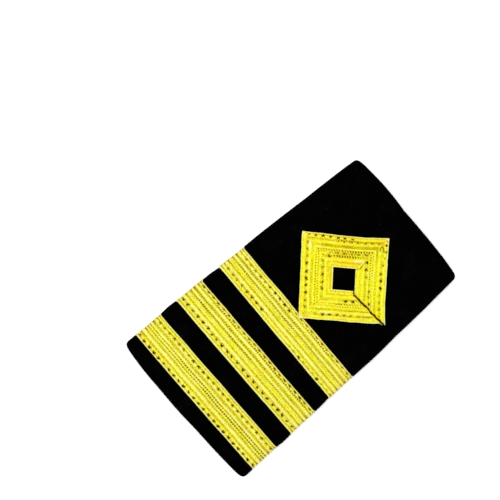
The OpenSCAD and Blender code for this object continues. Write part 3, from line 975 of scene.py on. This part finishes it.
def diamond():
    bm, share, t, on_face = lace_blank(LACE_BACK * 2, 4 * SIDE_ROWS)
    turn = np.clip(t * 4, 0, 4)
    side = np.minimum(np.floor(turn + 1e-6), 3).astype(int)
    t = np.clip(turn - side, 0, 1)
    side_l = SIDE_L * (1 - share * SHRINK)
    along = side_along(side, share, t)
    height = np.zeros_like(share)
    marks = {mark: np.zeros_like(share) for mark in ("lift", "pale", "hollow_shade", "hole", "rich", "amber")}
    for s in range(4):
        on = side == s
        height[on], made = lace_relief(
            share[on], along[on], DIAMOND_CORDS, DIAMOND_STITCHING[s], DIAMOND_DOTS[s],
            DIAMOND_BANDS[s], DIAMOND_GROOVE_TONE, DIAMOND_CREAM, 5000 + 200 * s,
        )
        for mark, value in made.items():
            marks[mark][on] = value
    # The folded mitres: the ribs of two sides meet in a soft, broken valley on the line of the corner
    from_mitre = np.minimum(t, 1 - t) * side_l * MITRE_SHARE
    corner = np.round(turn).astype(int)
    broken = np.clip(0.6 + 0.6 * wander(share + corner, 0.05, 91), 0, 1)
    fold = np.choose(corner, FOLDS) * dimple(from_mitre, MITRE_W) * broken
    height -= FOLD_DEPTH * fold
    # Painted shade darkens the fold's valley
    marks["lift"] = marks["lift"] + np.choose(side, SIDE_LIFT) - FOLD_SHADE * fold
    tip = share * LACE_W + from_mitre
    deepen(marks, "pale", TIP_PALE * dimple(tip, TIP_R))
    marks["rich"] += np.choose(side, SIDE_RICHNESS)
    marks["warm"] = np.choose(side, SIDE_WARMTH) + 0.2 * wander(along + side * 0.1, 5 * MM, 93)
    at_slit = np.where(side == 0, t, np.where(side == 3, 1 - t, 1)) * side_l * MITRE_SHARE
    height -= CUT_DROP * dimple(at_slit, CUT_R)
    # Painted shade at the slit's cut ends
    deepen(marks, "hollow_shade", 0.95 * dimple(at_slit, 0.22 * MM))
    deepen(marks, "amber", 0.7 * dimple(at_slit, 0.45 * MM))
    for s in range(4):
        stroked(marks, side == s, share, along, DIAMOND_STROKES[s])
    laid(bm, diamond_place(side, share, t, FIT_GAP + np.where(on_face, height, 0)))
    uv = np.stack([along / MM + 600 + 50 * side, share * LACE_W / MM], -1)
    obj = piece("diamond", bm, LACE, uv, face_only(marks, on_face))
    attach(obj, "root")
    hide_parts("lace_diamond")


diamond()


# The sewing thread, seen between its needle holes

def sewing():
    laid_at = []
    lie = LACE_T * 0.66 + FIT_GAP
    for i, rows in enumerate(BAR_STITCHING):
        reach = arch_r(half_at(BAR_START[i])) * EDGE_SLOPE / MM - 1
        for j, (low_line, high_line, pitch, offset, _, first, last) in enumerate(rows):
            line = (low_line + high_line) / 2
            laid_at += stitch_row(
                lambda along, aside, up: bar_place(i, line + aside / LACE_W, along, lie + up),
                pitch, offset, max(-reach, first), min(reach, last), 900 + 10 * i + j,
            )
    for s, rows in enumerate(DIAMOND_STITCHING):
        for j, (line, _, pitch, offset, forces, _, _) in enumerate(rows):

            def place(along, aside, up):
                share = line + aside / LACE_W
                side = np.full(len(share), s)
                start = side_along(side, share, np.zeros_like(share))
                end = side_along(side, share, np.ones_like(share))
                return diamond_place(side, share, (along - start) / (end - start), lie + up)

            last = offset + pitch * (len(forces) - 1)
            laid_at += stitch_row(place, pitch, offset, offset, last, 960 + 10 * s + j)
    blank = bpy.data.meshes.new("stitch_blank")
    STITCH_BLANK.to_mesh(blank)
    bm = bmesh.new()
    for _ in laid_at:
        bm.from_mesh(blank)
    bpy.data.meshes.remove(blank)
    co = np.concatenate(laid_at)
    laid(bm, co)
    marks = {"lift": np.full(len(co), STITCH_TONE), "rich": np.full(len(co), STITCH_RICHNESS)}
    obj = piece("sewing_thread", bm, LACE, co[:, :2] / MM, marks)
    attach(obj, "root")


sewing()


# The front cloth

CLOTH_COLS, CLOTH_ROWS = 150, 270
# Its end edges are rounded over this length, and by this share of its thickness
NOSE, NOSE_SHARE = 0.7 * MM, 0.9
# How much closer its rows stand beside the lace and at the ends, and how far that reaches
CROWD_STEPS = 8001
LACE_CROWD, LACE_CROWD_R = 3.5, 0.8 * MM
END_CROWD, END_CROWD_R = 2.5, 1.6 * MM
# How far from an end its bow sets in, and the wide end's stray, and over what run
BOW_FROM, BOW_RUN = 5.2 * MM, 3.4 * MM
STRAY_FROM, STRAY_RUN = 5 * MM, 4 * MM
# Felt is uneven, but not at the ends
FELT_RUN = 3 * MM
# The cloth slants with each bar, and this far past it
SLANT_PAST = 1 * MM
# The cloth turns down to the lace this far out from the selvedge, and over this run
BED_OUT = 0.06 * MM
BED_RUN = 0.28 * MM
# Where the sides and the ends stray from their lines: middle, size and reach in millimetres
SIDE_STRAY = ((-11, -0.3, 6), (12, 0.24, 8))
LOWER_SIDE_STRAY = ((-40, 0.16, 5), (-20, 0.28, 6), (30, 0.14, 8))
COLLAR_END_STRAY = ((0, -0.08, 60), (-24, -0.18, 4))
WIDE_END_STRAY = ((20, 0.3, 8), (4, 0.16, 7), (-8, -0.15, 7))
COLLAR_STEP = 0.88 * MM
COLLAR_STEP_FROM, COLLAR_STEP_TO = 3 * MM, 17 * MM
COLLAR_SLANT_FROM = BOARD_L / 2 - 12 * MM
COLLAR_RUN = BOARD_L / 2 - BARS_END - 6 * MM


def crowded(u):
    """Places along the board for shares from 0 to 1, closer at the ends and beside the lace."""
    at = np.linspace(-BOARD_L / 2, BOARD_L / 2, CROWD_STEPS)
    density = np.full_like(at, 1)
    for start in BAR_START:
        for edge in (start, start + LACE_W):
            density += LACE_CROWD * dimple(at - edge, LACE_CROWD_R)
    density += END_CROWD * dimple(BOARD_L / 2 - np.abs(at), END_CROWD_R)
    share = np.cumsum(density)
    return np.interp(u, (share - share[0]) / (share[-1] - share[0]), at)


def lace_bed(x, along):
    """How far the cloth lies below its own line: pressed under the bars, swelling between them."""
    bed = np.zeros_like(x)
    for i in range(3):
        low, high = selvedge(i, 0, along), selvedge(i, 1, along)
        out = np.maximum(low - x, x - high)
        bed = np.maximum(bed, LACE_PRESS * (1 - ease((out - BED_OUT) / BED_RUN)))
    for start in BAR_START[:-1]:
        t = (x - start - LACE_W) / BAR_GAP
        puff = CLOTH_PUFF * np.sin(math.pi * np.clip(t, 0, 1)) ** 2
        bed -= np.where((t > 0) & (t < 1), puff, 0)
    return bed


def diamond_bed(x, y):
    """How far the diamond presses the cloth down."""
    reach = np.abs(x - MIDDLE[0]) / HALF_L + np.abs(y - MIDDLE[1]) / HALF_W
    inner = 1 - SHRINK
    edge = HALF_L * HALF_W / SIDE_L
    d = np.minimum(1 - reach, reach - inner) * edge
    return DIAMOND_PRESS * ease(d / PRESS_BLEND + 1)


def front_cloth():
    bm = slab(CLOTH_ROWS, CLOTH_COLS)
    co = places(bm)
    u, v, on_face = co[:, 0], co[:, 1], co[:, 2] > 0.5
    x = crowded(u)
    way = 2 * v - 1
    half = half_near(x, way * (arch_r(half_at(x)) * EDGE_SLOPE + ROLL_L + TURN_UNDER - EDGE_R))
    d = BOARD_L / 2 - np.abs(x)
    set_in = CORNER_R * rounded(d, CORNER_R)
    narrow = half - set_in + lumps(x, SIDE_STRAY) + np.maximum(-way, 0) * lumps(x, LOWER_SIDE_STRAY)
    tip = half - TURN_UNDER
    girth = way * (arch_r(narrow) * EDGE_SLOPE + ROLL_L + narrow - EDGE_R - tip)
    y_about = np.clip(girth, -half, half)
    thin = 0.5 * CLOTH_T * NOSE_SHARE * rounded(d, NOSE)
    bed = lace_bed(x, girth) + diamond_bed(x, y_about)
    felt = 0.05 * MM * ripple(x, girth, 7 * MM, 5) + 0.02 * MM * ripple(x, girth, 1.6 * MM, 6)
    height = np.where(on_face, -bed - thin + felt * ease(d / FELT_RUN), thin - CLOTH_T)
    y, z = round_board(narrow, girth, height)
    bow = END_BOW * (y / half) ** 2 * ease((np.abs(x) - BOARD_L / 2 + BOW_FROM) / BOW_RUN)
    knots, slants = [-BOARD_L / 2], [0]
    for start, slant in zip(BAR_START, BAR_SLANT):
        knots += [start - SLANT_PAST, start + LACE_W + SLANT_PAST]
        slants += [slant, slant]
    slant = np.interp(x, knots + [COLLAR_SLANT_FROM], slants + [0])
    stray = -lumps(y, WIDE_END_STRAY) * ease((-BOARD_L / 2 + STRAY_FROM - x) / STRAY_RUN)
    stray += lumps(y, COLLAR_END_STRAY) * ease((x - BARS_END) / COLLAR_RUN)
    step = 1 - (1 - np.clip((y - COLLAR_STEP_FROM) / (COLLAR_STEP_TO - COLLAR_STEP_FROM), 0, 1)) ** 2
    stray += COLLAR_STEP * step * ease((x - BARS_END) / COLLAR_RUN)
    laid(bm, np.stack([x - np.sign(x) * bow + slant * y + stray, y, z], -1))
    obj = piece("front_shell", bm, CLOTH)
    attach(obj, "root")
    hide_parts("front_cloth")


front_cloth()


# The back cloth

BACK_COLS, BACK_ROWS = 120, 60
BACK_EDGE_R, BACK_EDGE_DROP = 0.9 * MM, 0.35 * MM
BACK_BOW_FROM, BACK_BOW_RUN = 5 * MM, 4 * MM


def back_cloth():
    bm = slab(BACK_COLS, BACK_ROWS)
    co = places(bm)
    u, v, up = co[:, 0], co[:, 1], co[:, 2] > 0.5
    half_l = BOARD_L / 2 - BACK_END_IN
    x = (2 * u - 1) * half_l
    half = half_at(x) - BACK_SIDE_IN
    y = (2 * v - 1) * half
    edge = np.minimum(half_l - np.abs(x), half - np.abs(y))
    soft = BACK_EDGE_DROP * rounded(edge, BACK_EDGE_R)
    z = np.where(up, BACK_T - soft, soft)
    bow = END_BOW * (y / half_at(x)) ** 2 * ease((np.abs(x) - half_l + BACK_BOW_FROM) / BACK_BOW_RUN)
    x = x - np.sign(x) * bow
    laid(bm, np.stack([x, y, z], -1))
    obj = piece("back_panel", bm, BACK)
    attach(obj, "root")
    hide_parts("back_cloth")


back_cloth()


# Floor, camera and light

FLOOR = 1.6
PHOTO_PX = 500
PX = 0.34 * MM
BOARD_AT_PX = (295.8, 315.6)
BOARD_TURN = math.radians(-41.24)
CAMERA_H = 0.9
SENSOR_MM = 36
VIEW_END = 10
FACE_Z = 7.5 * MM
WHITE = (1, 1, 1, 1)
FLOOR_WHITE = (0.93, 0.93, 0.93, 1)
FLOOR_GLOW = 0.12
LIGHT_H = 0.9
KEY_OUT, KEY_SIZE, KEY_POWER = 0.12, 0.5, 8
FILL_OUT, FILL_SIZE, FILL_POWER = 0.3, 0.8, 1.5
ROOM_LIGHT = 0.62


def stage():
    bm = bmesh.new()
    bmesh.ops.create_grid(bm, x_segments=1, y_segments=1, size=FLOOR / 2)
    m = Maker("pale_floor")
    m.shade({"Base Color": FLOOR_WHITE, "Roughness": 0.9})
    m.shade({"Emission Color": WHITE, "Emission Strength": FLOOR_GLOW})
    floor = piece("floor", bm, m.mat)


def camera():
    cam = bpy.data.cameras.new("camera")
    cam.sensor_width = SENSOR_MM
    cam.lens = cam.sensor_width * (CAMERA_H - FACE_Z) / (PHOTO_PX * PX)
    obj = shown("camera", cam)
    right = Vector((math.cos(BOARD_TURN), math.sin(BOARD_TURN), 0))
    up = Vector((-math.sin(BOARD_TURN), math.cos(BOARD_TURN), 0))
    aside = (BOARD_AT_PX[0] - PHOTO_PX / 2) * PX
    below = (BOARD_AT_PX[1] - PHOTO_PX / 2) * PX
    obj.location = up * below - right * aside + Vector((0, 0, CAMERA_H))
    obj.rotation_euler = (0, 0, BOARD_TURN)
    cam.clip_end = VIEW_END
    bpy.context.scene.camera = obj
    return right, up


def area_light(name, place, size, power):
    data = bpy.data.lights.new(name, "AREA")
    data.shape = "SQUARE"
    data.size = size
    data.energy = power
    obj = shown(name, data)
    obj.location = place
    obj.rotation_euler = (-Vector(place)).to_track_quat("-Z", "Y").to_euler()


def lighting(right, up):
    high = Vector((0, 0, LIGHT_H))
    area_light("key", (-right + up) * KEY_OUT + high, KEY_SIZE, KEY_POWER)
    area_light("fill", right * FILL_OUT - up * FILL_OUT + high, FILL_SIZE, FILL_POWER)
    world = bpy.data.worlds.new("room")
    world.use_nodes = True
    sky = world.node_tree.nodes["Background"].inputs
    sky["Color"].default_value = WHITE
    sky["Strength"].default_value = ROOM_LIGHT
    bpy.context.scene.world = world
    bpy.context.scene.view_settings.view_transform = "Standard"


stage()
lighting(*camera())
